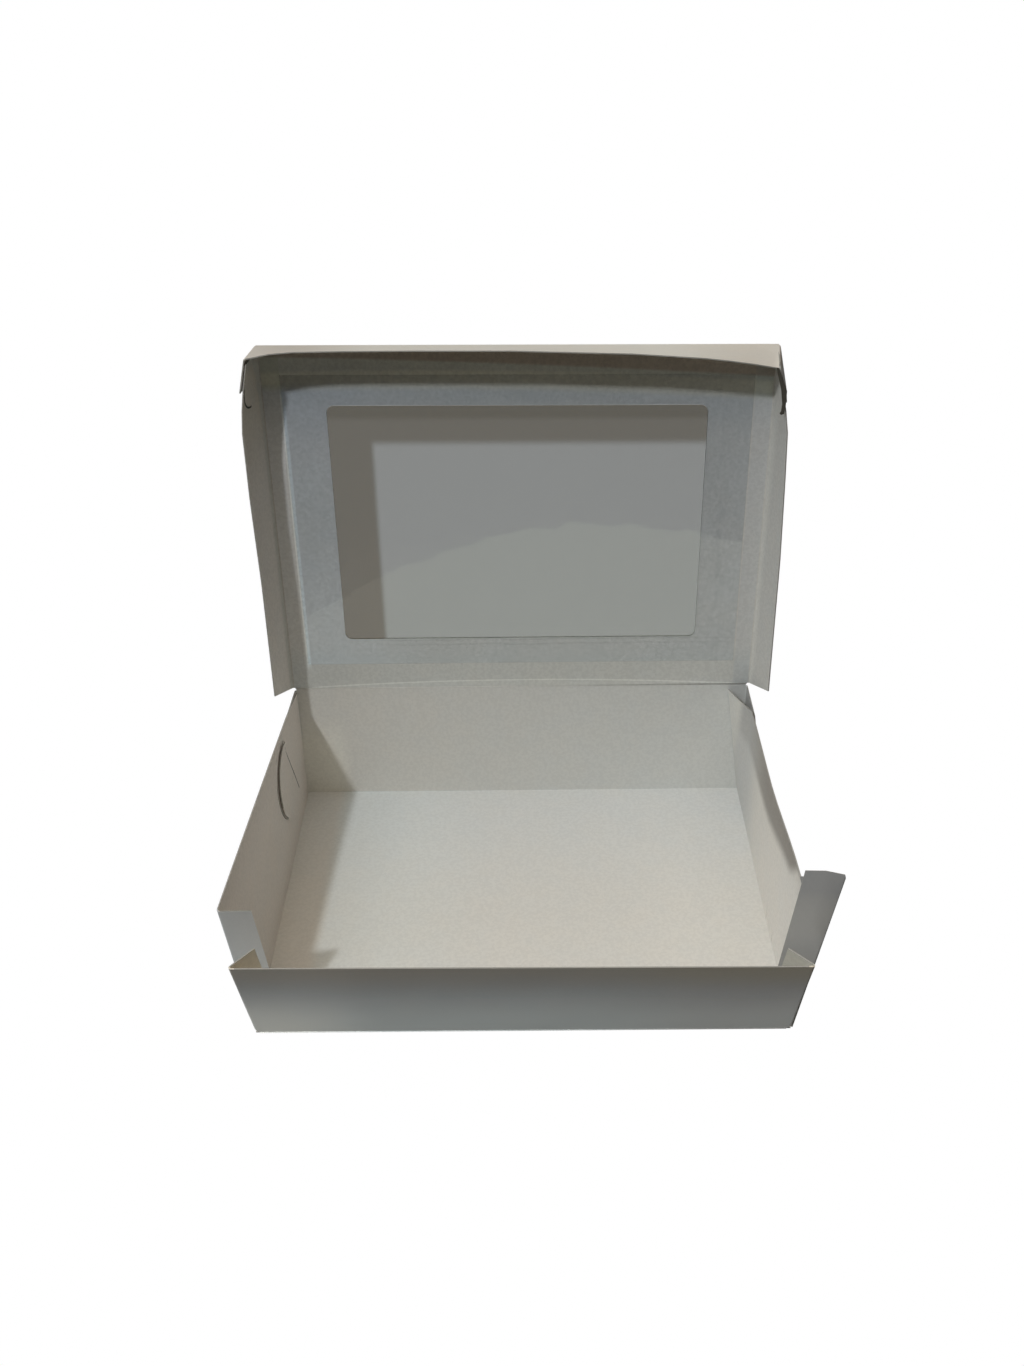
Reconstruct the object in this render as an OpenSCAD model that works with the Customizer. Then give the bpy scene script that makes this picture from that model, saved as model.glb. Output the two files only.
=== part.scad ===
// Takeaway box folded from one sheet of white paperboard, standing with its lid up and its
// front wall let down. Millimetres. The origin lies under the middle of the base, +Y points
// to the back wall and +Z points up. Every board is drawn from its middle surface.

/* [Board] */
// Thickness of the paperboard
board = 0.45; // [0.35:0.05:0.6]
// Gap between boards of the tray that lie side by side
board_gap = 0.15; // [0.1:0.05:0.3]
// Gap at the two folds that swing
fold_gap = 0.35; // [0.2:0.05:0.5]
// Radius of a rounded fold, to the middle of the board
fold_r = 0.6; // [0.4:0.1:1]
// Thickness of the window film
film = 0.15; // [0.1:0.05:0.25]

/* [Tray] */
// Width between the middle surfaces of the side walls at the base
tray_w = 199; // [150:1:260]
// Depth from the front fold to the middle surface of the back wall
tray_d = 151; // [120:1:200]
// Height of the lid's fold above the table
wall_h = 57; // [50:1:70]
// Distance of the side walls' front folds behind the base's front fold
front_set = 0.8; // [0.5:0.1:2]
// How far the side walls' back top corners are cut down
corner_drop = 2; // [0:0.5:4]
// Length of that cut
corner_run = 20; // [10:1:30]

/* [Left wall] */
// Lean of the left wall's front fold, outward
left_lean = 8.3; // [0:0.1:12]
// How far the top of that fold is drawn back
left_back = 3; // [0:0.5:6]
// Width of the left wall's front flap
left_flap_w = 11.7; // [8:0.1:16]
// Angle that this flap is turned in, from the line of the wall
left_flap_turn = 110; // [95:1:120]
// How far this flap's top edge falls towards its free edge
flap_fall = 3.4; // [0:0.1:5]
// Height at which the front flaps' free edge ends above the base
flap_foot = 18; // [10:1:30]

/* [Right wall] */
// Lean of the right wall over most of its length, outward
right_lean = -0.3; // [-2:0.1:3]
// Lean of the right wall's loose back end, outward
right_back_lean = -8; // [-10:0.5:0]
// Length over which the loose back end eases in
right_back_run = 24; // [15:1:40]
// Lean of the right wall where its front corner bends out
right_front_lean = 1.8; // [-1:0.1:4]
// Length of the bent-out corner at the front, along the top edge
ear_run = 18; // [12:1:24]
// Length of the bent-out corner at its foot
ear_foot = 6; // [3:1:12]
// Place of the front fold's top, outward from the wall
ear_out = 16.2; // [8:0.2:20]
// Place of the front fold's top, back from the front fold of the base
ear_back = 15.8; // [10:0.2:22]
// Height of the front fold's top
ear_top = 57.4; // [40:0.2:58]
// Bulge of the wall below its curled top edge, next to the bent-out corner
curl = 2; // [0:0.1:4]
// Share of the wall's height at which it bulges most
curl_place = 0.8; // [0.6:0.05:0.9]
// Length over which the curl grows
curl_run = 80; // [40:1:120]
// Width of the right wall's front flap at its top
right_flap_w = 15.7; // [10:0.1:18]
// Width of this flap at its foot
right_flap_low = 13.4; // [10:0.1:18]
// Heading of this flap in plan, back from a line straight across the box
right_flap_turn = 5.6; // [-10:0.2:15]
// Rise of this flap's top edge beside the fold
shoulder = 4.8; // [0:0.1:6]
// Rise of its top edge at the free edge
shoulder_end = 0.2; // [0:0.1:4]
// Width over which the edge climbs to its shoulder
shoulder_run = 3; // [1:0.1:5]

/* [Back corners] */
// Width of the back wall's end tabs at their top
tab_w = 23; // [14:1:28]
// Notch beside the lid's fold, where the tabs' top edge starts lower
tab_notch = 0.8; // [0.4:0.1:2]
// Fall of the tabs' top edge
tab_fall = 2; // [0:0.5:6]
// Height of the tabs' lower edge at the back wall
tab_low = 5; // [2:1:12]
// Flare of the right end tab, whose tongue is out of its slit
tab_flare = 0.5; // [0:0.5:4]
// Radius of the locking tongue
tongue_r = 17; // [12:0.5:19]
// Distance of the tongue's centre from the back wall
tongue_in = 38; // [30:0.5:42]
// Height of the tongue's centre
tongue_z = 35; // [28:0.5:38]
// Top of the tongue's root, from the back wall and from the base
tongue_top = [34, 48]; // [10:1:50]
// Foot of the tongue's root, from the back wall and from the base
tongue_foot = [19, 16]; // [5:1:40]
// Directions from its centre in which the round edge starts and ends
tongue_span = [100, -75]; // [-90:5:110]
// Rise of the tongue's round edge off the wall
tongue_lift = 1; // [0.8:0.1:2]

/* [Front wall] */
// Height of the front wall
front_h = 56.6; // [50:0.1:70]
// Outward lean of the front wall at shares of its width, from the left
front_lean = [[0, 22.6], [0.5, 23.4], [1, 23.6]]; // [0:0.1:35]
// Width of the front wall's end tabs
front_tab_w = 12; // [8:0.5:14]
// Angle that the end tabs are turned in
front_tab_turn = 132; // [125:1:145]
// How far the left tab's top edge falls towards its free edge
front_left_fall = 3; // [0:0.5:8]
// How far the right tab's top edge falls towards its free edge
front_right_fall = 5; // [0:0.5:8]
// Height at which the tabs' free edge ends above the fold
front_tab_foot = 32; // [20:1:36]
// Radius of the front wall's rounded lower corners
front_corner_r = 1.3; // [1:0.1:4]

/* [Lid] */
// Width between the middle surfaces of the lid's side skirts
lid_w = 201.8; // [152:0.1:263]
// Length of the lid, from its hinge fold to its front fold
lid_d = 154; // [145:1:205]
// Depth of the skirt
skirt = 22; // [15:1:28]
// Length of the mitre at the skirt's hinge ends
mitre = 9; // [4:0.5:14]
// How far the lid's top left corner leans back
lean_left = 5.3; // [-6:0.1:8]
// How far its top right corner leans back
lean_right = -2; // [-6:0.1:8]
// Splay of the left side skirt at distances down from the lid's front fold
splay_left = [[0, 1], [6, 4.5], [15, 9], [26, 12.4], [55, 12.6], [92, 10.4], [154, 10.4]]; // [-10:0.1:160]
// Splay of the right side skirt at distances down from the lid's front fold
splay_right = [[0, -8], [12, -2.2], [17, 1.4], [27, 5.6], [47, 7.8], [82, 10.6],
    [154, 12.2]]; // [-10:0.1:160]
// Lift of the lid's front flap, in degrees, along its width as shares from the left end
lift = [[0, 5.2], [0.035, 9.3], [0.08, 11.6], [0.18, 12.4], [0.3, 12.7], [0.5, 12.5], [0.73, 9.4],
    [0.88, 4.4], [0.96, -1.3], [1, -5]]; // [-8:0.1:16]
// Length of the flap's end tabs, down the outside of the side skirts
lid_tab = 14; // [10:1:24]
// Width of these tabs at their lower end
lid_tab_end = 12; // [8:1:16]
// Outward slope of the left tab
lid_tab_left = 13; // [4:1:20]
// Outward slope of the right tab
lid_tab_right = 14; // [4:1:20]

/* [Window] */
// Width of the window
window_w = 151; // [100:1:170]
// Height of the window
window_h = 105; // [70:1:115]
// Distance from the hinge fold to the window
window_up = 25; // [16:1:30]
// Corner radius of the window
window_r = 3; // [1:0.5:8]
// Overlap of the film on the lid at either side of the window
film_side = 17.5; // [5:0.5:22]
// Overlap of the film above and below the window
film_lap = 12.5; // [5:0.5:14]

/* [Hidden] */

half_w = tray_w / 2;
lid_half = lid_w / 2;
front_y = -tray_d / 2;
back_y = tray_d / 2;
fold_z = board / 2;
lap = board + board_gap;
hinge_start = board / 2 + fold_gap;
wall_u = wall_h - fold_z;
side_end = board / 2 + board_gap;
side_run = tray_d - side_end - front_set;
ear_start = side_run - ear_run;
front_ease = 60;
lid_top = wall_h + lid_d;
lid_start = wall_h + hinge_start;
wall_steps = 12;
ear_steps = 6;
curl_steps = 8;
bend_steps = 5;
corner_steps = 5;
flap_steps = 22;
arc_steps = 14;
skirt_steps = 16;
panel_steps = 8;
rows_up = [0, 0.5, 1];
turned_start = 0.8;
cut_depth = 40;
glue = 0.06;
corner_facets = 32;
lift_shares = [0, 0.3, 0.65, 1];
inner = "#c8c5bb";
outer = "#a3a4a0";
clear_film = [0.85, 0.88, 0.88, 0.35];

function clamp(t) = min(1, max(0, t));
function ease(t) = clamp(t) * clamp(t) * (3 - 2 * clamp(t));
function mix(a, b, t) = a + (b - a) * t;
function unit(v) = v / norm(v);
function square_to(v, axis) = unit(v - (v * axis) * axis);

// Directions along a grid's rows and columns, and the normal between them
function along_row(g, i, j) = g[i][min(j + 1, len(g[0]) - 1)] - g[i][max(j - 1, 0)];
function along_column(g, i, j) = g[min(i + 1, len(g) - 1)][j] - g[max(i - 1, 0)][j];
function grid_normal(g, i, j) = unit(cross(along_row(g, i, j), along_column(g, i, j)));

// Two faces that close a sheet's edge between points a and b of its upper side
function edge_faces(a, b, n) = [[a, a + n, b + n], [a, b + n, b]];

// Sheet over a grid of points of its middle surface, thickened evenly both ways
module sheet(g, thick = board) {
    rows = len(g);
    cols = len(g[0]);
    n = rows * cols;
    points = [for (side = [1, -1], i = [0:rows - 1], j = [0:cols - 1])
        g[i][j] + side * thick / 2 * grid_normal(g, i, j)];
    tops = [for (i = [0:rows - 2], j = [0:cols - 2])
        let (a = i * cols + j, b = a + cols) each [[a, b, b + 1], [a, b + 1, a + 1]]];
    bottoms = [for (f = tops) [f[2] + n, f[1] + n, f[0] + n]];
    first = [for (j = [0:cols - 2]) each edge_faces(j + 1, j, n)];
    last = [for (j = [0:cols - 2]) each edge_faces(n - cols + j, n - cols + j + 1, n)];
    left = [for (i = [0:rows - 2]) each edge_faces(i * cols, (i + 1) * cols, n)];
    right = [for (i = [0:rows - 2]) each edge_faces((i + 2) * cols - 1, (i + 1) * cols - 1, n)];
    polyhedron(points, concat(tops, bottoms, first, last, left, right), convexity = 6);
}

// Point of a board that arrives at p heading along e, bends round the fold and leaves along w.
// q is the distance from p along the board.
function fold_arc(e, w) = fold_r * acos(e * w) * PI / 180;
function folded(p, e, w, q) =
    let (turn = acos(e * w), side = square_to(w, e), arc = fold_arc(e, w),
         a = min(turn, q / fold_r * 180 / PI))
    p + fold_r * (sin(a) * e + (1 - cos(a)) * side) + max(0, q - arc) * w;

// Distances from the fold at which a flap of width w has its rows of points
function flap_rows(arc, w) = concat([for (k = [1:bend_steps]) arc * k / bend_steps], [mix(arc, w, 0.5), w]);

// Outline of a path of constant thickness, for boards seen from their edge
function heading(p, k) = unit(p[min(k + 1, len(p) - 1)] - p[max(k - 1, 0)]);
function beside(p, k, off) = p[k] + off * [-heading(p, k)[1], heading(p, k)[0]];
module edge_view(p) {
    last = len(p) - 1;
    polygon(concat([for (k = [0:last]) beside(p, k, board / 2)],
                   [for (k = [last:-1:0]) beside(p, k, -board / 2)]));
}

// Height of a side wall's top edge along the board, at a distance from its back end
function top_u(run) = wall_u - corner_drop * (1 - clamp(run / corner_run));

// Left wall: upright at the back, leaning out more and more towards the front.
// run is the distance from its back end and u the height along the board.
function left_at(run, u) =
    let (f = run / side_run, a = left_lean * f)
    [-half_w - u * sin(a), back_y - side_end - run + left_back * f * u / wall_u, fold_z + u * cos(a)];

left_fold_run = side_run - fold_r;
left_heading = [0, -1, 0];
left_turned = [sin(left_flap_turn), -cos(left_flap_turn), 0];
left_flap_u = function(q, h)
    mix(flap_foot * ease(q / left_flap_w), wall_u - flap_fall * q / left_flap_w, h);
left_grid = concat(
    [for (i = [0:wall_steps]) let (run = left_fold_run * i / wall_steps)
        [for (h = rows_up) left_at(run, h * top_u(run))]],
    [for (q = flap_rows(fold_arc(left_heading, left_turned), left_flap_w))
        [for (h = rows_up)
            folded(left_at(left_fold_run, left_flap_u(q, h)), left_heading, left_turned, q)]]);

// Right wall: its back end has slipped in, its top edge curls in towards the front, and its
// front corner is bent out as an ear that ends at the leaning front fold
function right_lean_at(run) = right_lean
    + (right_back_lean - right_lean) * (1 - ease(run / right_back_run))
    + (right_front_lean - right_lean) * ease((run - ear_start + front_ease) / front_ease);
function right_wall_top(run) =
    let (a = right_lean_at(run), u = top_u(run))
    [half_w + u * sin(a), back_y - side_end - run, fold_z + u * cos(a)];
ear_tip = [half_w + ear_out, front_y + ear_back, ear_top];
ear_root = [half_w, front_y + front_set, fold_z];
function right_top(run) = run <= ear_start
    ? right_wall_top(run)
    : mix(right_wall_top(ear_start), ear_tip, (run - ear_start) / ear_run);
function right_foot(run) =
    let (wall = run + (ear_run - ear_foot) * ease((run - ear_start + front_ease) / front_ease),
         ear = side_run - ear_foot * (side_run - run) / ear_run)
    [half_w, back_y - side_end - (run <= ear_start ? wall : ear), fold_z];
function curl_at(run) = curl * ease((run - ear_start + curl_run) / curl_run)
    * (1 - ease((run - ear_start) / ear_run));
function curl_shape(h) = h < curl_place
    ? sin(90 * h / curl_place)
    : cos(90 * (h - curl_place) / (1 - curl_place));
function right_at(run, h) =
    mix(right_foot(run), right_top(run), h) + [curl_at(run) * curl_shape(h), 0, 0];

right_fold = unit(ear_tip - ear_root);
right_heading = square_to(ear_tip - right_wall_top(ear_start), right_fold);
right_turned = square_to([-cos(right_flap_turn), sin(right_flap_turn), 0], right_fold);
right_flap_len = norm(ear_tip - ear_root);
function shoulder_at(q) = mix(shoulder, shoulder_end, q / right_flap_w) * ease(q / shoulder_run);
right_flap_u = function(q, h)
    mix(flap_foot * ease(q / right_flap_w), right_flap_len + shoulder_at(q), h);
right_runs = concat([for (i = [0:wall_steps]) ear_start * i / wall_steps],
                    [for (i = [1:ear_steps]) ear_start + ear_run * i / ear_steps]);
right_grid = concat(
    [for (run = right_runs) [for (j = [0:curl_steps]) right_at(run, j / curl_steps)]],
    [for (q = flap_rows(fold_arc(right_heading, right_turned), right_flap_w))
        [for (j = [0:curl_steps])
            let (at = ear_root + right_fold * right_flap_u(q, j / curl_steps))
            folded(at, right_heading, right_turned,
                   q * mix(right_flap_low / right_flap_w, 1, j / curl_steps))]]);

// Tongue of the left end tab, through its slit and flat on the wall's inner face
function tongue_edge(k) =
    let (a = mix(tongue_span[0], tongue_span[1], k / arc_steps))
    [tongue_in + tongue_r * cos(a), tongue_z + tongue_r * sin(a)];
tongue_grid = [for (k = [0:arc_steps]) [for (t = lift_shares)
    let (at = mix(mix(tongue_top, tongue_foot, k / arc_steps), tongue_edge(k), t))
    left_at(at[0] - side_end, at[1]) + [tongue_lift * sin(90 * t), 0, 0]]];

// Back wall and its end tabs seen from above: the tabs wrap round the side walls' outside
left_tab_flare = atan((wall_u * sin(left_lean * tongue_top[0] / side_run)) / tongue_top[0]);
tab_x = half_w + lap;
tab_reach = tongue_in + tongue_r;
back_half = tab_x - fold_r;
function tab_bend(side, turn) = [for (k = [0:bend_steps]) let (a = (90 + turn) * k / bend_steps)
    [side * (tab_x - fold_r + fold_r * sin(a)), back_y - fold_r + fold_r * cos(a)]];
function tab_end(side, turn, reach) =
    [side * (tab_x + (reach - fold_r) * tan(-turn)), back_y - reach];
function reversed(v) = [for (k = [len(v) - 1:-1:0]) v[k]];
left_path = concat(tab_bend(-1, -left_tab_flare), [tab_end(-1, -left_tab_flare, tongue_top[0])]);
right_path = concat(tab_bend(1, -tab_flare), [tab_end(1, -tab_flare, tab_reach)]);
back_path = concat(reversed(left_path), right_path);
tongue_outline = [for (k = [0:arc_steps]) tongue_edge(k)];
tab_head = [[0, wall_h - tab_notch], [fold_r, wall_h - tab_notch], [tab_w, wall_h - tab_fall], tongue_top];
tab_tail = [tongue_foot, [fold_r, tab_low], [0, tab_low]];
function tab_outline(tip) = concat(tab_head, tip, tab_tail);

// A side view of distances from the back wall and heights, as a block across one half of the box
module side_block(outline, side) {
    translate([side > 0 ? 0 : -tray_w, back_y, 0]) rotate([90, 0, 90])
        linear_extrude(height = tray_w) polygon([for (p = outline) [-p[0], p[1]]]);
}

module back_wall() {
    intersection() {
        linear_extrude(height = wall_h) edge_view(back_path);
        union() {
            translate([-back_half, back_y - fold_r, 0]) cube([2 * back_half, 2 * fold_r, wall_h]);
            side_block(tab_outline([]), -1);
            side_block(tab_outline(tongue_outline), 1);
        }
    }
}

module base_panel() {
    translate([-half_w, front_y, 0]) cube([tray_w, tray_d, board]);
}

module tray() {
    color(inner) union() {
        base_panel();
        back_wall();
        sheet(left_grid);
        sheet(right_grid);
        sheet(tongue_grid);
    }
}

// Front wall, let down about its fold with the base, with its end tabs turned in
function lean_at(x) = lookup((x + half_w) / tray_w, front_lean);
function front_at(x, u) = [x, front_y - u * sin(lean_at(x)), fold_z + u * cos(lean_at(x))];
function front_turned(side) =
    let (a = lean_at(side * half_w))
    [side * cos(front_tab_turn), sin(front_tab_turn) * cos(a), sin(front_tab_turn) * sin(a)];
function front_tab_u(side, q, h) =
    let (fall = side > 0 ? front_right_fall : front_left_fall)
    mix(mix(front_low(front_flat), front_tab_foot, q / front_tab_w), front_h - fall * q / front_tab_w, h);
function front_tab_point(side, q, h) =
    folded(front_at(side * front_flat, front_tab_u(side, q, h)), [side, 0, 0], front_turned(side), q);
function front_tab_rows(side) =
    [for (q = flap_rows(fold_arc([side, 0, 0], front_turned(side)), front_tab_w))
        [for (h = rows_up) front_tab_point(side, q, h)]];
front_flat = half_w - fold_r;
function front_low(x) =
    let (over = clamp((abs(x) - front_flat) / front_corner_r + 1))
    hinge_start + front_corner_r * (1 - sqrt(1 - over * over));
front_corner = [for (k = [corner_steps:-1:0]) front_flat - front_corner_r * (1 - sin(90 * k / corner_steps))];
front_xs = concat([for (x = front_corner) -x], reversed(front_corner));
front_middle = [for (x = front_xs) [for (h = rows_up) front_at(x, mix(front_low(x), front_h, h))]];
front_grid = concat(reversed(front_tab_rows(-1)), front_middle, front_tab_rows(1));

module front_wall() {
    color(outer) sheet(front_grid);
}

// Lid, leaning back more at one top corner than at the other
function leant(p) =
    p + [0, (p[2] - wall_h) / lid_d * mix(lean_left, lean_right, (p[0] + lid_half) / lid_w), 0];
function panel_grid(half, low, high, y) = [for (i = [0:panel_steps]) [for (j = [0:panel_steps])
    leant([mix(-half, half, j / panel_steps), y, mix(low, high, i / panel_steps)])]];

module lid_panel() {
    difference() {
        sheet(panel_grid(lid_half, lid_start, lid_top, back_y));
        translate([0, back_y + cut_depth / 2, wall_h + window_up + window_h / 2]) rotate([90, 0, 0])
            linear_extrude(height = cut_depth) rounded(window_w, window_h, window_r);
    }
}

module rounded(w, h, r) {
    for (x = [-1, 1], y = [-1, 1])
        translate([x * (w / 2 - r), y * (h / 2 - r)]) circle(r = r, $fn = corner_facets);
    square([w - 2 * r, h], center = true);
    square([w, h - 2 * r], center = true);
}

// Side skirt: drawn in at its locked corner and splayed along the rest
function skirt_grid(side, splay) = [for (i = [0:skirt_steps]) [for (h = rows_up)
    let (low = lid_start + mitre * h, z = mix(low, lid_top - side_end, i / skirt_steps),
         a = lookup(lid_top - z, splay), q = h * skirt)
    leant([side * (lid_half + q * sin(a)), back_y - q * cos(a), z])]];

// Front flap of the lid: lifted in a bow, with its end tabs down the outside of the skirts
tab_half = lid_half + lap - fold_r;
left_end = splay_left[0][1];
right_end = splay_right[0][1];
function flap_at(s, q) =
    let (a = lookup(s, lift))
    leant([mix(-tab_half - q * sin(left_end), tab_half + q * sin(right_end), s),
           back_y - q * cos(a), lid_top + q * sin(a)]);
function lid_tab_point(side, way, d, h) =
    let (q = mix(mix(turned_start, skirt - lid_tab_end, clamp(d / lid_tab)), skirt, h))
    folded(flap_at(side > 0 ? 1 : 0, q), [side, 0, 0], way, d);
function lid_tab_rows(side, slope) =
    let (way = [side * sin(slope), 0, -cos(slope)])
    [for (d = flap_rows(fold_arc([side, 0, 0], way), lid_tab))
        [for (h = rows_up) lid_tab_point(side, way, d, h)]];
lid_flap_middle = [for (i = [0:flap_steps]) [for (h = rows_up) flap_at(i / flap_steps, h * skirt)]];
lid_flap_grid = concat(reversed(lid_tab_rows(-1, lid_tab_left)), lid_flap_middle,
                       lid_tab_rows(1, lid_tab_right));

module lid() {
    color(inner) union() {
        lid_panel();
        sheet(skirt_grid(-1, splay_left));
        sheet(skirt_grid(1, splay_right));
        sheet(lid_flap_grid);
    }
}

// Window film, glued to the lid's inner face
film_low = wall_h + window_up - film_lap;
film_grid = panel_grid(window_w / 2 + film_side, film_low, film_low + window_h + 2 * film_lap,
                       back_y - (board + film) / 2 - glue);

module window_film() {
    color(clear_film) sheet(film_grid, film);
}

tray();
front_wall();
lid();
window_film();
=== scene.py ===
"""Looks of a takeaway box folded from one sheet of white paperboard, lid up and front wall let down.

Metres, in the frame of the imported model: the origin lies under the middle of the base, +Y points to the back
wall and +Z up. The board's inner face is uncoated and grey-cream, its outer face smoother and whiter, and
its cut edges are bare."""

import math

import bmesh
import bpy
from mathutils import Matrix, Vector


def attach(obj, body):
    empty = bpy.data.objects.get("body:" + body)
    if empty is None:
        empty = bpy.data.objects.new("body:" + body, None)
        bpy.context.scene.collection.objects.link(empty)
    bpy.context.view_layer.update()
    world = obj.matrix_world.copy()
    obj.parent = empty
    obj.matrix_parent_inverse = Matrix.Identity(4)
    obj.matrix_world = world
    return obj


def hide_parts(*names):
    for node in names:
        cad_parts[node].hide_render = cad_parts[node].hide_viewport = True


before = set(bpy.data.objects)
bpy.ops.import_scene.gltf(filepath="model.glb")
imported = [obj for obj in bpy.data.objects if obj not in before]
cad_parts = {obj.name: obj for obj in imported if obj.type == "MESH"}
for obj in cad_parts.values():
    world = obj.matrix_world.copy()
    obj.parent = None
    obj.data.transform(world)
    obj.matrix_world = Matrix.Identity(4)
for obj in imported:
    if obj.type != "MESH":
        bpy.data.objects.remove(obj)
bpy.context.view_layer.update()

MM = 0.001
# The model's own sizes: board, base, and height of the walls
BOARD = 0.45 * MM
HALF_W = 99.5 * MM
FRONT_Y = -75.5 * MM
BACK_Y = 75.5 * MM
WALL_H = 57 * MM
# A point inside each folded part, which its inner faces look at
TRAY_MIDDLE = Vector((0, 0, 30)) * MM
LID_MIDDLE = Vector((0, 30, 134)) * MM
FRONT_MIDDLE = Vector((0, 0, 60)) * MM
# Direction in which the front wall's outer face looks
FRONT_LOOKS = Vector((0, -0.923, -0.385))
# A cut edge's width and height, as shares of the board's thickness
EDGE_WIDTH = (0.9, 1.1)
EDGE_HEIGHT = (0.75, 1.1)
# Least cosine of the angle between a face and a direction that it looks in
ALONG_FLOOR = 0.9
ALONG_FRONT = 0.97
# Corners of the mesh that are this near are one
WELD = 0.002 * MM
# Folds that turn by this much or more are shaded sharp
SHARP_FROM = math.radians(26)

# Camera: focal length for the photograph's long side, place and aim
SENSOR = 36.0
LENS = 36.9
CAMERA_AT = Vector((4.4, -450.9, 384.4)) * MM
PITCH = math.radians(31.74)
YAW = math.radians(-0.89)
ROLL = math.radians(-1.12)

# Main lamp: place, radius, watts and colour
KEY_AT = Vector((-511, -736, 1000)) * MM
KEY_RADIUS = 35 * MM
KEY_POWER = 21.6
KEY_COLOUR = (0.96, 1.0, 1.04)
# Broad soft lights from the left and from above
LEFT_WAY = Vector((0.85, 0.1, -0.55))
LEFT_POWER = 0.76
LEFT_ANGLE = math.radians(60)
LEFT_COLOUR = (0.93, 1.0, 1.04)
TOP_WAY = Vector((0.1, 0.15, -1))
TOP_POWER = 1.23
TOP_ANGLE = math.radians(80)
TOP_COLOUR = (1.08, 1.0, 0.89)
# Dim surroundings above and below the horizon
SKY_HIGH = (0.0, 0.0, 0.0)
SKY_LOW = (0.085, 0.085, 0.08)
HORIZON = (0.45, 0.6)
# Floor: half its width, and how far it lies under the box
FLOOR_HALF = 6.0
FLOOR_UNDER = 0.02 * MM

# Board colours
INNER = (0.66, 0.645, 0.60)
OUTER = (0.70, 0.71, 0.70)
EDGE = (0.38, 0.365, 0.33)
# The tongue's dark colour is painted shadow
SHADED_TONGUE = (0.085, 0.078, 0.062)
# Shares of the board's colour in its cooler mottles and in its dark and pale flecks
COOL = (0.955, 0.985, 1.02)
DARK = 0.62
PALE = 1.18
CLOUDY = 0.14
# Film colours above and below the line of its painted reflection: on the board, and in the window's painted
# lit and shaded parts
ON_BOARD = ((0.30, 0.32, 0.33), (0.66, 0.68, 0.66))
LIT = ((0.153, 0.179, 0.166), (0.184, 0.225, 0.172))
SHADED = ((0.101, 0.077, 0.019), (0.116, 0.089, 0.019))
# Film alpha: on the board, with more below the line of the painted reflection, and in the window's painted lit
# part, with more in its painted shadow and deepest parts and less below that line
BOARD_ALPHA = (0.095, 0.115)
BOARD_ALPHA_REFLECTION = 0.022
WINDOW_ALPHA = 0.553
WINDOW_ALPHA_SHADED = 0.1155
WINDOW_ALPHA_DEEP = 0.040
WINDOW_ALPHA_REFLECTION = 0.020

# Painted highlight along the lid's crease: ends of the crease, the rise of its bow and half its length
CREASE_END = 57.4 * MM
CREASE_RISE = 3.2 * MM
CREASE_HALF = 97 * MM
# Lock of the left back corner: middle and radius of its round edge, along which a painted shadow line runs,
# and the two ends (y, z) of its slit
LOCK_AT = (37.5 * MM, 35.2 * MM)
LOCK_R = 17.2 * MM
LOCK_TOP = 50.5 * MM
SLIT = ((41 * MM, 49 * MM), (57 * MM, 16.5 * MM))
# Slit of the lid's left skirt: middle (y, z) and radius of its curve
SKIRT_SLIT_AT = (68.2 * MM, 200 * MM)
SKIRT_SLIT_R = 8.8 * MM
# Film on the lid: edges, and the peak (x, z) and bend of the line below which a painted reflection lies
FILM_X = 93 * MM
FILM_Z = (69.5 * MM, 199.5 * MM)
REFLECTION_PEAK = (35 * MM, 135.7 * MM)
REFLECTION_BEND = 2.76
# Window in the lid: half its width and height, its middle's height and its corner radius
WINDOW_HALF = (75.5 * MM, 52.5 * MM)
WINDOW_Z = 134.5 * MM
WINDOW_R = 3 * MM
# Edges of the painted shadow, an L in the window, and the height above which it is darkest
SHADE_X = -58 * MM
SHADE_Z = 171.3 * MM
SHADE_DEEP_Z = 181.5 * MM
# Shade of the lid's flap on its panel: highest point (z, x) of its lower edge, and that edge's bend
FLAP_SHADE_Z = 194 * MM
FLAP_SHADE_X = -45 * MM
FLAP_SHADE_BEND = 0.22
# Where masks begin and end: at the lid panel's plane, at its two sides and at the left skirt
PANEL_Y = (69 * MM, 70.5 * MM)
PANEL_X = (100.1 * MM, 100.5 * MM)
SKIRT_X = (-101.6 * MM, -101 * MM)
# Bent tongue at the lid's right corner, coloured as painted shadow: front and back, and its outline's points
# (x, z) in mm
TONGUE_Y = (51.2 * MM, 51.5 * MM)
TONGUE_OUTLINE = [(96.9, 209.6), (97.8, 209.2), (101.4, 200.5), (101.4, 194.3), (101.0, 191.5),
                  (99.9, 191.1), (99.3, 191.7), (99.8, 192.5), (100.0, 195.3), (99.2, 200.8), (97.3, 207.3)]
# Beads at the folds that swing. Lid: half its width and height, how far it lies under the wall's top, and how
# much longer each end is than the base
LID_FOLD_HALF = (0.26 * MM, 0.63 * MM)
LID_FOLD_UNDER = 0.1 * MM
LID_FOLD_LONGER = 0.3 * MM
# Front: its outline's points (y, z) in mm from the base's front edge, and how much shorter each end is
FRONT_FOLD_OUTLINE = [(0.05, 0.02), (0.05, 0.45), (-0.05, 0.74), (-0.36, 0.64), (-0.46, 0.3), (-0.3, 0.06)]
FRONT_FOLD_SHORTER = 1.6 * MM


# Shader nodes


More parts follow.
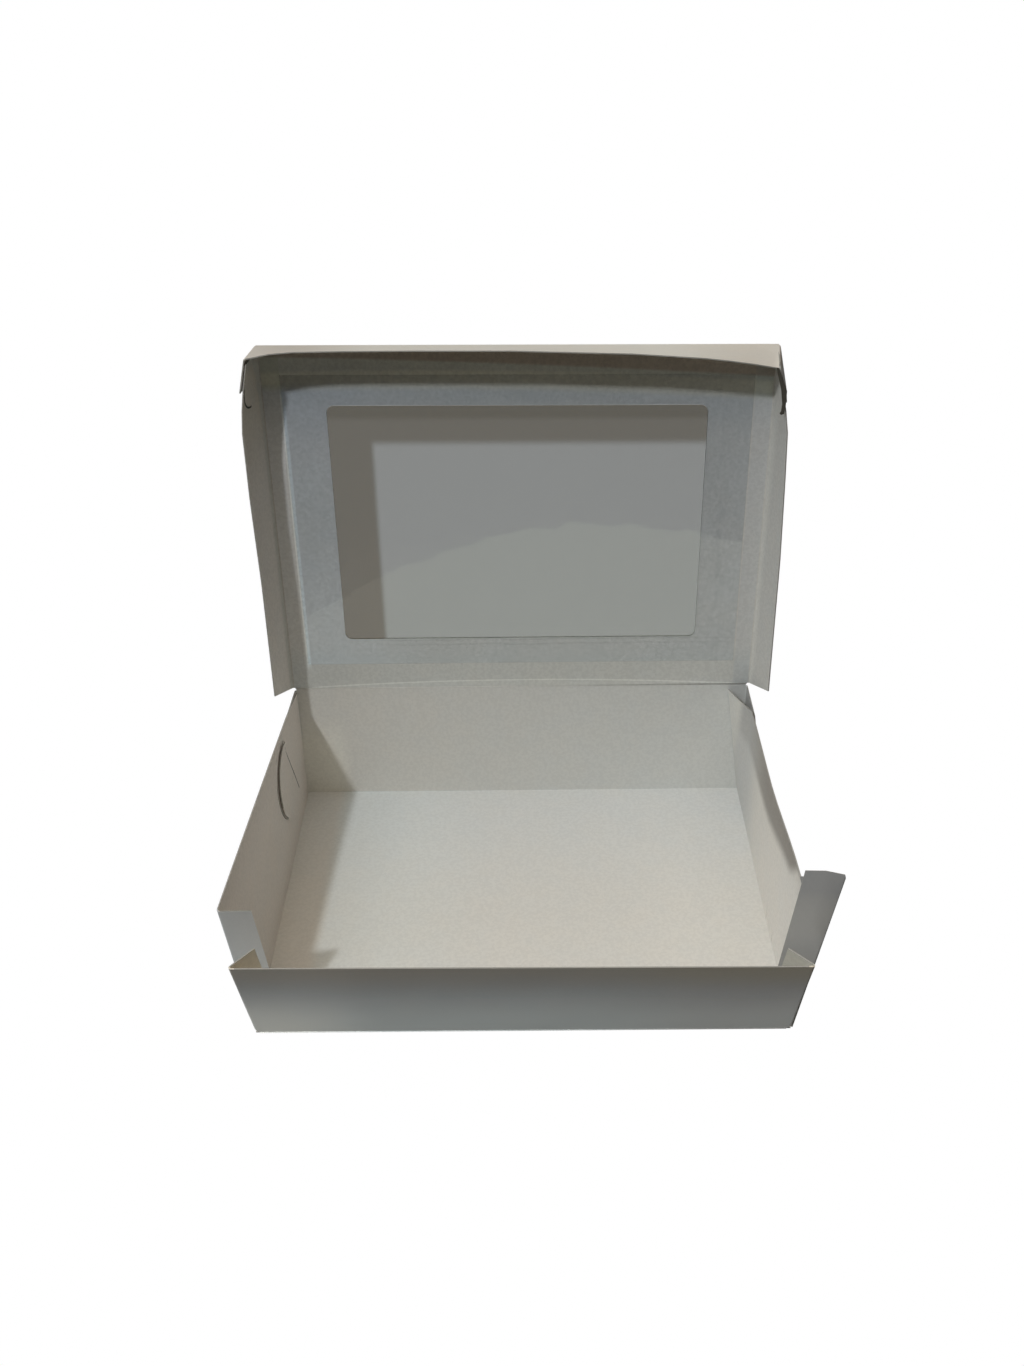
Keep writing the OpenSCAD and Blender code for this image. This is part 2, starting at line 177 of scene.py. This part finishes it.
class Shader:
    """A material and short calls that add nodes to it. A value is a number or a node's output."""

    def __init__(self, name):
        self.material = bpy.data.materials.new(name)
        self.material.use_nodes = True
        self.tree = self.material.node_tree
        self.tree.nodes.clear()
        self.out = self.node("ShaderNodeOutputMaterial")
        place = self.node("ShaderNodeTexCoord").outputs["Object"]
        self.place = place
        split = self.node("ShaderNodeSeparateXYZ")
        self.join(place, split.inputs[0])
        self.x, self.y, self.z = split.outputs

    def node(self, kind, **settings):
        made = self.tree.nodes.new(kind)
        for name, value in settings.items():
            setattr(made, name, value)
        return made

    def join(self, value, socket):
        if hasattr(value, "is_output"):
            self.tree.links.new(value, socket)
        else:
            socket.default_value = value

    def math(self, operation, *values):
        made = self.node("ShaderNodeMath", operation=operation)
        for value, socket in zip(values, made.inputs):
            self.join(value, socket)
        return made.outputs[0]

    def plus(self, a, b):
        return self.math("ADD", a, b)

    def minus(self, a, b):
        return self.math("SUBTRACT", a, b)

    def absolute(self, value):
        return self.math("ABSOLUTE", value)

    def length(self, a, b):
        """Length of a vector with these two parts."""
        return self.math("SQRT", self.plus(self.times(a, a), self.times(b, b)))

    def times(self, *values):
        total = values[0]
        for value in values[1:]:
            total = self.math("MULTIPLY", total, value)
        return total

    def ramp(self, value, low, high, at_low=0.0, at_high=1.0):
        """Smooth change from at_low to at_high while value goes from low to high."""
        made = self.node("ShaderNodeMapRange", interpolation_type="SMOOTHSTEP")
        for source, socket in zip((value, low, high, at_low, at_high), made.inputs):
            self.join(source, socket)
        return made.outputs[0]

    def fall(self, value, low, high):
        """Smooth change from 1 to 0 while value goes from low to high."""
        return self.ramp(value, low, high, 1.0, 0.0)

    def line(self, distance, half, soft):
        """1 within half of distance zero, fading to 0 over soft."""
        return self.fall(self.absolute(distance), half, half + soft)

    def noise(self, scale, detail=2.0, rough=0.5, stretch=(1, 1, 1)):
        source = self.place
        if stretch != (1, 1, 1):
            mapping = self.node("ShaderNodeMapping")
            self.join(source, mapping.inputs["Vector"])
            mapping.inputs["Scale"].default_value = stretch
            source = mapping.outputs[0]
        made = self.node("ShaderNodeTexNoise")
        self.join(source, made.inputs["Vector"])
        made.inputs["Scale"].default_value = scale
        made.inputs["Detail"].default_value = detail
        made.inputs["Roughness"].default_value = rough
        return made.outputs["Fac"]

    def mix(self, share, a, b, blend="MIX"):
        made = self.node("ShaderNodeMix", data_type="RGBA", blend_type=blend)
        sockets = [s for s in made.inputs if s.enabled]
        for value, socket in zip((share, a, b), sockets):
            if isinstance(value, tuple) and len(value) == 3:
                value = (*value, 1.0)
            self.join(value, socket)
        return [s for s in made.outputs if s.enabled][0]

    def grey(self, value):
        made = self.node("ShaderNodeCombineColor")
        for socket in made.inputs:
            self.join(value, socket)
        return made.outputs[0]

    def bump(self, height, strength, distance, normal=None):
        made = self.node("ShaderNodeBump")
        made.inputs["Strength"].default_value = strength
        made.inputs["Distance"].default_value = distance
        self.join(height, made.inputs["Height"])
        if normal is not None:
            self.join(normal, made.inputs["Normal"])
        return made.outputs[0]

    def principled(self, colour, roughness, normal=None, **numbers):
        made = self.node("ShaderNodeBsdfPrincipled")
        if isinstance(colour, tuple) and len(colour) == 3:
            colour = (*colour, 1.0)
        self.join(colour, made.inputs["Base Color"])
        self.join(roughness, made.inputs["Roughness"])
        if normal is not None:
            self.join(normal, made.inputs["Normal"])
        for name, value in numbers.items():
            self.join(value, made.inputs[name.replace("_", " ")])
        self.join(made.outputs[0], self.out.inputs["Surface"])
        return self.material


def board(name, base, speckle, mottle, roughness, marks=None, specular=0.3):
    """Paperboard: base colour with fibre flecks, soft mottling, marks that are mostly painted light and shade,
    fine grain and slow waviness.
    """
    s = Shader(name)
    cool = tuple(c * k for c, k in zip(base, COOL))
    colour = s.mix(s.ramp(s.noise(75, 4, 0.55), 0.35, 0.65, 0.0, mottle), base, cool)
    dark = tuple(c * DARK for c in base)
    pale = tuple(min(1.0, c * PALE) for c in base)
    colour = s.mix(s.ramp(s.noise(1900, 3, 0.6), 0.60, 0.72, 0.0, speckle), colour, dark)
    colour = s.mix(s.ramp(s.noise(1300, 2, 0.5), 0.62, 0.75, 0.0, speckle * 0.5), colour, pale)
    cloudy = s.ramp(s.noise(700, 3, 0.6), 0.38, 0.62, 1.0 - CLOUDY * speckle, 1.0 + CLOUDY * speckle)
    colour = s.mix(1.0, colour, s.grey(cloudy), "MULTIPLY")
    # Each mark multiplies the colour; most of them are painted light and shade
    for mask, share in marks(s) if marks else []:
        colour = s.mix(1.0, colour, s.mix(mask, (1.0, 1.0, 1.0), share), "MULTIPLY")
    grain = s.bump(s.noise(1500, 4, 0.65), 0.25, 0.00012)
    wave = s.bump(s.noise(22, 2, 0.4), 0.35, 0.0012, grain)
    return s.principled(colour, roughness, wave, Specular_IOR_Level=specular)


def window_mask(s):
    """1 on the film inside the lid's window, whose corners are round."""
    over_x = s.minus(s.absolute(s.x), WINDOW_HALF[0] - WINDOW_R)
    up = s.absolute(s.minus(s.z, WINDOW_Z))
    over_z = s.minus(up, WINDOW_HALF[1] - WINDOW_R)
    over_x, over_z = s.math("MAXIMUM", over_x, 0.0), s.math("MAXIMUM", over_z, 0.0)
    far = s.length(over_x, over_z)
    return s.fall(far, WINDOW_R - 0.1 * MM, WINDOW_R + 0.1 * MM)


def clear_film():
    """Film: nearly clear where it lies on the board. In the window it is mostly opaque grey, painted as a lit
    surface behind it, with a painted shadow as an L along its left and upper edges, and a lighter painted
    reflection below a wavy line."""
    s = Shader("clear_film")
    # Painted reflection: lighter film below a wavy line
    off = s.minus(s.x, REFLECTION_PEAK[0])
    line = s.minus(REFLECTION_PEAK[1], s.times(off, off, REFLECTION_BEND))
    wobble = s.times(s.minus(s.noise(90, 2, 0.5), 0.5), 7 * MM)
    below = s.minus(s.plus(line, wobble), s.z)
    reflection = s.ramp(below, -0.4 * MM, 0.8 * MM)
    window = window_mask(s)
    # Painted light and shadow in the window: its lit part, and the L-shaped shadow around it that is darkest
    # at the top
    lit = s.times(s.ramp(s.x, SHADE_X - 1.5 * MM, SHADE_X + 1.5 * MM),
                  s.fall(s.z, SHADE_Z - 2.2 * MM, SHADE_Z + 2.2 * MM))
    shaded = s.minus(1.0, lit)
    deep = s.ramp(s.z, SHADE_DEEP_Z - 1.5 * MM, SHADE_DEEP_Z + 1.5 * MM)
    haze = s.ramp(s.noise(30, 2, 0.5), 0.3, 0.7, *BOARD_ALPHA)
    on_board = s.plus(haze, s.times(reflection, BOARD_ALPHA_REFLECTION))
    in_window = s.plus(s.plus(WINDOW_ALPHA, s.times(shaded, WINDOW_ALPHA_SHADED)),
                       s.minus(s.times(deep, WINDOW_ALPHA_DEEP), s.times(reflection, WINDOW_ALPHA_REFLECTION)))
    alpha = s.plus(s.times(window, in_window), s.times(s.minus(1.0, window), on_board))
    seen = s.mix(shaded, s.mix(reflection, *LIT), s.mix(reflection, *SHADED))
    colour = s.mix(window, s.mix(reflection, *ON_BOARD), seen)
    wave = s.bump(s.noise(26, 2, 0.5), 0.3, 0.002)
    return s.principled(colour, 0.12, wave, Alpha=alpha, Specular_IOR_Level=0.5)


# Marks on the board. Each function lists pairs of a mask and the share of the colour that is left there.
# Most are painted light and shade: soft tints fitted by place to the photograph's tones.


def segment(s, a, b, ends, half, soft):
    """Mask of a thin straight line between two points of a plane; a and b are its coordinates."""
    (a0, b0), (a1, b1) = ends
    long = math.hypot(a1 - a0, b1 - b0)
    ua, ub = (a1 - a0) / long, (b1 - b0) / long
    da, db = s.minus(a, a0), s.minus(b, b0)
    along = s.plus(s.times(da, ua), s.times(db, ub))
    off = s.minus(s.times(da, ub), s.times(db, ua))
    return s.times(s.line(off, half, soft), s.line(s.minus(along, long / 2), long / 2, soft))


def lock_slit_and_painted_shadow(s, left):
    """Painted shadow along the round edge of the D-shaped lock in the left wall, under its lifted tongue, and
    the straight slit beside it.
    """
    dy, dz = s.minus(s.y, LOCK_AT[0]), s.minus(s.z, LOCK_AT[1])
    far = s.length(dy, dz)
    half = s.ramp(s.absolute(s.plus(dz, 1 * MM)), 6 * MM, 16.5 * MM, 0.13 * MM, -0.14 * MM)
    off = s.absolute(s.minus(far, LOCK_R))
    ring = s.fall(s.minus(off, half), 0.0, 0.28 * MM)
    open_side = s.fall(s.minus(dy, s.times(dz, 0.35)), 1 * MM, 4 * MM)
    low = s.fall(s.z, LOCK_TOP - 3.2 * MM, LOCK_TOP - 2 * MM)
    slit = segment(s, s.y, s.z, SLIT, 0.16 * MM, 0.35 * MM)
    # The ring is painted shadow under the lock tongue's lifted round edge; the slit is a dark cut
    return [(s.times(left, ring, open_side, low), (0.04, 0.04, 0.035)),
            (s.times(left, slit), (0.05, 0.05, 0.045))]


def tray_marks_and_painted_shading(s):
    """Lock, and painted light and shade on the base, back wall, left wall and curled right wall, with a
    painted dark band along the right wall's top edge.
    """
    base = s.fall(s.z, 0.5 * MM, 0.8 * MM)
    wall = s.minus(1.0, base)
    back = s.times(wall, s.ramp(s.y, 74 * MM, 75 * MM))
    side = s.minus(wall, back)
    left = s.times(side, s.fall(s.x, -96 * MM, -94 * MM))
    right = s.times(side, s.ramp(s.x, 95 * MM, 97 * MM))
    # Painted shade: a dark band along the right wall's top edge, where it curls, widening towards the front
    width = s.plus(s.ramp(s.y, -54 * MM, -34 * MM, 0.5 * MM, 13 * MM),
                   s.ramp(s.y, -34 * MM, 5 * MM, 0.0, 3.5 * MM))
    below = s.minus(s.minus(WALL_H, s.z), width)
    curl_shade = s.times(right, s.fall(below, -3 * MM, 4.5 * MM),
                   s.ramp(s.y, 0, 70 * MM, 1.0, 0.25), s.ramp(s.y, -58 * MM, -55 * MM))
    return lock_slit_and_painted_shadow(s, left) + [
        # Painted light and shade: tints that lighten the back wall, the left wall and the left wall's shadow
        # on the back wall, darken and warm the left wall's shadow on the base, cool the base, and lighten the
        # right wall to the front and darken it to the back
        (back, (1.05, 1.05, 1.05)),
        (s.times(base, s.fall(s.x, -86 * MM, -79 * MM)), (1.0, 0.94, 0.90)),
        (left, (1.13, 1.07, 1.06)),
        (s.times(left, s.ramp(s.z, 15 * MM, 50 * MM)), (1.15, 1.15, 1.16)),
        (s.times(back, s.ramp(s.x, -100 * MM, 60 * MM)), (0.95, 0.98, 1.01)),
        (s.times(base, s.ramp(s.y, -20 * MM, 70 * MM)), (1.0, 1.04, 1.09)),
        (s.times(base, s.fall(s.x, -70 * MM, 0)), (1.0, 1.04, 1.06)),
        (base, (1.045, 1.035, 1.03)),
        (s.times(back, s.fall(s.x, -84 * MM, -76 * MM), s.fall(s.z, 25 * MM, 45 * MM)),
         (1.12, 1.12, 1.09)),
        (s.times(right, s.fall(s.y, 0, 60 * MM)), (1.09, 1.06, 1.05)),
        (s.times(right, s.ramp(s.y, 20 * MM, 60 * MM)), (0.86, 0.87, 0.90)),
        (curl_shade, (0.47, 0.455, 0.445))]


def skirt_slit(s):
    """Curved slit in the left skirt that holds the tongue of the lid's corner tab."""
    dy, dz = s.minus(s.y, SKIRT_SLIT_AT[0]), s.minus(s.z, SKIRT_SLIT_AT[1])
    far = s.length(dy, dz)
    ring = s.line(s.minus(far, SKIRT_SLIT_R), 0.22 * MM, 0.3 * MM)
    below = s.fall(dz, 0, 3 * MM)
    skirt = s.fall(s.x, *SKIRT_X)
    return s.times(ring, below, skirt, s.fall(dy, -1 * MM, 1 * MM))


def lid_marks_and_painted_shading(s):
    """Panel with a painted highlight along its bowed crease, a tint inside the film outline and painted light
    at its edge, painted tints in the flap's shadow and deeper painted shadow under the flap, glue and ridges,
    painted light and shade on panel and skirts, and the left skirt's slit.
    """
    share = s.math("DIVIDE", s.x, CREASE_HALF)
    bow = s.times(CREASE_RISE, s.minus(1.0, s.times(share, share)))
    over = s.minus(s.z, s.plus(CREASE_END, bow))
    wide = s.absolute(s.x)
    panel = s.times(s.ramp(s.y, *PANEL_Y), s.fall(wide, *PANEL_X))
    skirt = s.fall(s.x, *SKIRT_X)
    # Painted highlight along the bowed crease, and painted light on the strip under it
    crease_highlight = s.times(panel, s.line(over, 0.15 * MM, 0.35 * MM), s.ramp(s.x, -94 * MM, -91 * MM))
    strip = s.times(panel, s.fall(over, -0.3 * MM, 0.3 * MM))
    filmed = s.times(panel, s.fall(wide, FILM_X - 0.2 * MM, FILM_X),
                     s.ramp(s.z, FILM_Z[0] - 0.2 * MM, FILM_Z[0]))
    left = s.times(filmed, s.fall(s.x, -85 * MM, -30 * MM))
    # Painted light in the left skirt's cast shadow on the panel, beside the film
    shadow_x = s.ramp(s.z, 150 * MM, 200 * MM, -94.7 * MM, -90.6 * MM)
    beside = s.times(panel, s.fall(s.minus(s.x, shadow_x), -0.7 * MM, 0.7 * MM),
                     s.fall(s.z, 192 * MM, 196 * MM))
    # Painted tint in the flap's cast shadow on the panel
    gone = s.minus(s.x, FLAP_SHADE_X)
    shadow_z = s.minus(FLAP_SHADE_Z, s.times(gone, gone, FLAP_SHADE_BEND))
    under = s.times(panel, s.ramp(s.minus(s.z, shadow_z), -1.7 * MM, 1.7 * MM))
    bare = s.times(under, s.ramp(wide, FILM_X - 0.2 * MM, FILM_X))
    # Painted shade: a deeper shadow right under the flap
    slope = s.plus(s.times(s.x, 0.042), s.times(s.x, s.x, 0.11))
    deep = s.times(panel, s.ramp(s.plus(s.z, slope), 203 * MM, 204.4 * MM))
    # Painted light: a pale line at the film's left edge, beside the skirt's shadow
    film_edge_light = s.times(panel, s.line(s.plus(s.x, 92.6 * MM), 0.6 * MM, 0.6 * MM),
                  s.fall(s.z, 190 * MM, 196 * MM), s.ramp(s.z, 66 * MM, 70 * MM))
    glue = s.times(filmed, s.line(s.minus(s.x, 83.5 * MM), 1.2 * MM, 2 * MM),
                   s.ramp(s.noise(260, 3, 0.6, (1, 1, 0.35)), 0.45, 0.6),
                   s.ramp(s.z, 130 * MM, 160 * MM, 1.0, 0.3))
    wobble = s.times(s.minus(s.noise(60, 2, 0.5), 0.5), 2 * MM)
    level = s.plus(s.z, wobble)
    upper = s.line(s.minus(level, 81.2 * MM), 0.15 * MM, 0.4 * MM)
    lower = s.line(s.minus(level, 78.9 * MM), 0.15 * MM, 0.4 * MM)
    ridges = s.times(filmed, s.math("MAXIMUM", upper, lower), s.ramp(s.x, -70 * MM, -50 * MM))
    skirt_top = s.times(s.fall(s.x, -101.5 * MM, -101 * MM), s.ramp(s.z, 150 * MM, 195 * MM))
    # Painted light: a pale line just below the flap's shadow
    above = s.minus(s.minus(s.z, shadow_z), 4.6 * MM)
    # Most of this list is painted light and shade: tints that lighten or darken the panel and skirts by place
    return [
        (crease_highlight, (1.22, 1.22, 1.22)),
        (strip, (1.06, 1.06, 1.06)),
        (panel, (0.98, 0.98, 0.98)),
        (s.times(panel, s.ramp(s.z, 90 * MM, 180 * MM)), (0.95, 0.95, 0.96)),
        (filmed, (1.03, 1.08, 1.14)),
        (left, (1.14, 1.17, 1.21)),
        (s.times(left, s.ramp(s.z, 100 * MM, 130 * MM)), (0.92, 0.92, 0.92)),
        (s.times(left, s.ramp(s.z, 150 * MM, 180 * MM)), (0.955, 0.95, 0.965)),
        (s.times(panel, s.fall(s.z, 66 * MM, 82 * MM)), (0.93, 0.96, 0.97)),
        (s.times(panel, s.ramp(s.z, 172 * MM, 192 * MM)), (0.94, 0.96, 0.98)),
        (s.times(panel, s.ramp(s.x, 93 * MM, 94 * MM)), (0.93, 0.95, 0.98)),
        (s.times(panel, s.ramp(s.x, 30 * MM, 80 * MM)), (1.05, 1.05, 1.06)),
        (beside, (1.24, 1.26, 1.32)),
        (film_edge_light, (1.25, 1.30, 1.32)),
        (under, (1.17, 1.10, 0.95)),
        (bare, (0.92, 1.0, 1.07)),
        (deep, (0.78, 0.68, 0.64)),
        (glue, (0.90, 0.90, 0.91)),
        (s.times(filmed, s.ramp(s.noise(620, 3, 0.65), 0.40, 0.60)), (0.92, 0.92, 0.92)),
        (s.ramp(s.x, 101 * MM, 102 * MM), (0.87, 0.87, 0.88)),
        (skirt_top, (0.92, 0.91, 0.86)),
        (s.times(panel, s.line(above, 1.5 * MM, 2 * MM)), (1.20, 1.17, 1.12)),
        (ridges, (0.90, 0.90, 0.90)),
        (skirt, (1.24, 1.20, 1.21)),
        (skirt_slit(s), (0.12, 0.12, 0.11))]


def front_painted_shading(s):
    """Painted light and shade on the front wall's outer face, paler to the left and towards its foot."""
    left = s.fall(s.x, -95 * MM, -50 * MM)
    right = s.ramp(s.x, 20 * MM, 80 * MM)
    return [
        (s.ramp(s.x, -95 * MM, -60 * MM), (1.27, 1.25, 1.24)),
        (s.ramp(s.z, 12 * MM, 42 * MM), (0.86, 0.86, 0.87)),
        (right, (0.97, 0.93, 0.92)),
        (s.times(right, s.ramp(s.z, 30 * MM, 48 * MM)), (1.07, 1.09, 1.03)),
        (s.fall(s.z, 4 * MM, 50 * MM), (1.45, 1.53, 1.53)),
        (s.ramp(s.z, 30 * MM, 52 * MM), (0.95, 0.88, 0.78)),
        (left, (1.33, 1.31, 1.30)),
        (s.times(left, s.fall(s.z, 5 * MM, 40 * MM)), (1.32, 1.25, 1.19))]


def front_inner_painted_shading(s):
    """Painted light and shade on the front wall's two end tabs, the left one lighter and the right one darker.
    """
    left = s.fall(s.x, -75 * MM, -60 * MM)
    right = s.ramp(s.x, 60 * MM, 75 * MM)
    return [(left, (1.32, 1.25, 1.16)), (right, (0.88, 0.87, 0.83))]


def tray_outer_painted_shading(s):
    """Painted shade on the tray's outer faces by place, among them the two front flaps, which reach over the
    side walls' outer faces: much darker on the right, shaped by height there, and darker on the left.
    """
    left = s.fall(s.x, -50 * MM, 50 * MM)
    right = s.ramp(s.x, -50 * MM, 50 * MM)
    middle = s.line(s.minus(s.z, 42 * MM), 3 * MM, 9 * MM)
    return [
        (right, (0.53, 0.515, 0.505)),
        (left, (0.79, 0.79, 0.79)),
        (s.times(right, s.fall(s.z, 28 * MM, 38 * MM)), (0.94, 0.94, 0.93)),
        (s.times(right, middle), (1.09, 1.09, 1.07)),
        (s.times(right, s.ramp(s.z, 50 * MM, 55 * MM)), (0.94, 0.95, 0.97))]


def lid_outer_painted_shading(s):
    """Painted light and shade on the lid's flap: lighter and warmer on its top, most in the middle, and
    slightly darker at its left end.
    """
    top = s.ramp(s.z, 206 * MM, 209 * MM)
    wide = s.absolute(s.x)
    return [
        (s.times(top, s.fall(wide, 50 * MM, 95 * MM)), (1.26, 1.20, 1.11)),
        (s.times(top, s.ramp(wide, 50 * MM, 95 * MM)), (1.05, 0.97, 0.88)),
        (s.times(top, s.fall(s.x, -90 * MM, -50 * MM)), (0.93, 0.92, 0.93))]


MATERIALS = {
    "tray_inner": board("tray_board_inner", INNER, 0.22, 0.3, 0.92, tray_marks_and_painted_shading),
    "lid_inner": board("lid_board_inner", INNER, 0.3, 0.3, 0.92, lid_marks_and_painted_shading),
    "front_inner": board("front_board_inner", INNER, 0.22, 0.3, 0.92, front_inner_painted_shading),
    "tray_outer": board("tray_board_outer", OUTER, 0.06, 0.3, 0.55, tray_outer_painted_shading, specular=0.4),
    "lid_outer": board("lid_board_outer", OUTER, 0.06, 0.3, 0.55, lid_outer_painted_shading, specular=0.4),
    "front_outer": board("front_board_outer", OUTER, 0.06, 0.3, 0.55, front_painted_shading, specular=0.4),
    "edge": board("board_edge", EDGE, 0.2, 0.3, 0.9),
    "tongue": board("shaded_tongue_board", SHADED_TONGUE, 0.2, 0.3, 0.9),
    "film": clear_film(),
}


# Folded board


def welded(node):
    """A copy of a node's mesh whose faces share their corners, so that curves can be shaded smooth."""
    made = bmesh.new()
    made.from_mesh(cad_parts[node].data)
    bmesh.ops.remove_doubles(made, verts=made.verts, dist=WELD)
    return made


def face_kind(face, middle):
    """inner, outer or edge, from the direction that a face of the board looks in."""
    centre = face.calc_center_median()
    sides = [e.calc_length() / BOARD for e in face.edges]
    height = 2 * face.calc_area() / BOARD / BOARD / max(sides)
    narrow = EDGE_WIDTH[0] < min(sides) < EDGE_WIDTH[1] and EDGE_HEIGHT[0] < height < EDGE_HEIGHT[1]
    on_floor = abs(face.normal.z) > ALONG_FLOOR and centre.z < 2 * BOARD
    on_front = face.normal.dot(FRONT_LOOKS) > ALONG_FRONT
    if narrow and not on_floor and not on_front:
        return "edge"
    return "inner" if face.normal.dot(middle - centre) > 0 else "outer"


def placed(made, name, materials):
    """The scene's object that a bmesh becomes."""
    mesh = bpy.data.meshes.new(name)
    made.to_mesh(mesh)
    made.free()
    for material in materials:
        mesh.materials.append(material)
    piece = bpy.data.objects.new(name, mesh)
    bpy.context.scene.collection.objects.link(piece)
    return piece


def dress(node, body, middle, kinds):
    """The board of one node, with an inner, an outer and an edge material."""
    made = welded(node)
    order = list(kinds)
    for face in made.faces:
        face.material_index = order.index(face_kind(face, middle))
        face.smooth = True
    for edge in made.edges:
        edge.smooth = edge.calc_face_angle(0) < SHARP_FROM
    piece = placed(made, node + "_board", kinds.values())
    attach(piece, body)
    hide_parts(node)
    return piece


def kinds_of(part):
    return {"inner": MATERIALS[part + "_inner"],
            "outer": MATERIALS[part + "_outer"],
            "edge": MATERIALS["edge"]}


tray = dress("tray", "tray", TRAY_MIDDLE, kinds_of("tray"))
lid = dress("lid", "lid", LID_MIDDLE, kinds_of("lid"))
front_wall = dress("front_wall", "front_wall", FRONT_MIDDLE, kinds_of("front"))

film_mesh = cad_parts["window_film"].data
film_mesh.materials.clear()
film_mesh.materials.append(MATERIALS["film"])


def between(first, last, smooth=False):
    """Solid between two outlines that have the same number of points."""
    made = bmesh.new()
    ends = [[made.verts.new(point) for point in outline] for outline in (first, last)]
    count = len(first)
    for i in range(count):
        j = (i + 1) % count
        made.faces.new((ends[0][i], ends[0][j], ends[1][j], ends[1][i])).smooth = smooth
    made.faces.new(ends[0][::-1])
    made.faces.new(ends[1])
    bmesh.ops.recalc_face_normals(made, faces=made.faces)
    return made


def bead(name, outline, half, material, body):
    """Bar along X whose cross-section is an outline of (y, z) points."""
    made = between([(-half, y, z) for y, z in outline], [(half, y, z) for y, z in outline], smooth=True)
    piece = placed(made, name, [material])
    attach(piece, body)


# The creased board at the two folds that swing
lid_fold = [(BACK_Y + LID_FOLD_HALF[0] * math.sin(a),
             WALL_H - LID_FOLD_UNDER + LID_FOLD_HALF[1] * math.cos(a))
            for a in (math.radians(15 * k) for k in range(-6, 7))]
bead("lid_fold", lid_fold, HALF_W + LID_FOLD_LONGER, MATERIALS["tray_inner"], "tray")
front_fold = [(FRONT_Y + y * MM, z * MM) for y, z in FRONT_FOLD_OUTLINE]
bead("front_fold", front_fold, HALF_W - FRONT_FOLD_SHORTER, MATERIALS["front_outer"], "tray")


def tongue():
    """Tongue of the lid's right corner tab, bent forward out of the skirt's slit, and coloured dark as painted
    shadow.
    """
    front, behind = ([(x * MM, y, z * MM) for x, z in TONGUE_OUTLINE] for y in TONGUE_Y)
    piece = placed(between(front, behind), "tongue", [MATERIALS["tongue"]])
    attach(piece, "lid")


tongue()

# Floor, light and camera


def floor():
    """Plain white floor, walls and ceiling far around the box, which light and shade nothing."""
    s = Shader("pale_floor")
    glow = s.node("ShaderNodeEmission")
    glow.inputs["Color"].default_value = (1.0, 1.0, 1.0, 1.0)
    s.join(glow.outputs[0], s.out.inputs["Surface"])
    made = bmesh.new()
    bmesh.ops.create_cube(made, size=2 * FLOOR_HALF)
    piece = placed(made, "floor", [s.material])
    piece.location.z = FLOOR_HALF - FLOOR_UNDER
    piece.visible_diffuse = False
    piece.visible_glossy = False
    piece.visible_shadow = False


floor()


def light(kind, name, power, colour):
    data = bpy.data.lights.new(name, kind)
    data.energy = power
    data.color = colour
    made = bpy.data.objects.new(name, data)
    bpy.context.scene.collection.objects.link(made)
    return made


def lamp(name, place, power, radius, colour):
    made = light("POINT", name, power, colour)
    made.data.shadow_soft_size = radius
    made.location = place
    made.visible_camera = False


def sun(name, way, power, angle, colour):
    made = light("SUN", name, power, colour)
    made.data.angle = angle
    made.rotation_euler = (-way).to_track_quat("Z", "Y").to_euler()


lamp("key", KEY_AT, KEY_POWER, KEY_RADIUS, KEY_COLOUR)
sun("left", LEFT_WAY, LEFT_POWER, LEFT_ANGLE, LEFT_COLOUR)
sun("top", TOP_WAY, TOP_POWER, TOP_ANGLE, TOP_COLOUR)


def surroundings():
    """Dim light from below the horizon, fading to none above it."""
    world = bpy.data.worlds.new("studio")
    world.use_nodes = True
    tree = world.node_tree
    height = tree.nodes.new("ShaderNodeSeparateXYZ")
    tree.links.new(tree.nodes.new("ShaderNodeTexCoord").outputs["Generated"], height.inputs[0])
    shade = tree.nodes.new("ShaderNodeValToRGB")
    for element, place, colour in zip(shade.color_ramp.elements, HORIZON, (SKY_LOW, SKY_HIGH)):
        element.position = place
        element.color = (*colour, 1.0)
    half = tree.nodes.new("ShaderNodeMath")
    half.operation = "MULTIPLY_ADD"
    half.inputs[1].default_value = 0.5
    half.inputs[2].default_value = 0.5
    tree.links.new(height.outputs[2], half.inputs[0])
    tree.links.new(half.outputs[0], shade.inputs[0])
    tree.links.new(shade.outputs[0], tree.nodes["Background"].inputs["Color"])
    bpy.context.scene.world = world


surroundings()
bpy.context.scene.view_settings.view_transform = "Standard"


def camera():
    data = bpy.data.cameras.new("camera")
    data.sensor_fit = "VERTICAL"
    data.sensor_height = SENSOR
    data.lens = LENS
    data.clip_start = 0.01
    data.clip_end = 100
    right = Vector((math.cos(YAW), -math.sin(YAW), 0))
    ahead = Vector((math.sin(YAW) * math.cos(PITCH), math.cos(YAW) * math.cos(PITCH), -math.sin(PITCH)))
    up = right.cross(ahead)
    across = math.cos(ROLL) * right + math.sin(ROLL) * up
    over = -math.sin(ROLL) * right + math.cos(ROLL) * up
    turn = Matrix((across, over, -ahead)).transposed()
    made = bpy.data.objects.new("camera", data)
    made.matrix_world = Matrix.Translation(CAMERA_AT) @ turn.to_4x4()
    bpy.context.scene.collection.objects.link(made)
    bpy.context.scene.camera = made


camera()

bpy.context.view_layer.update()
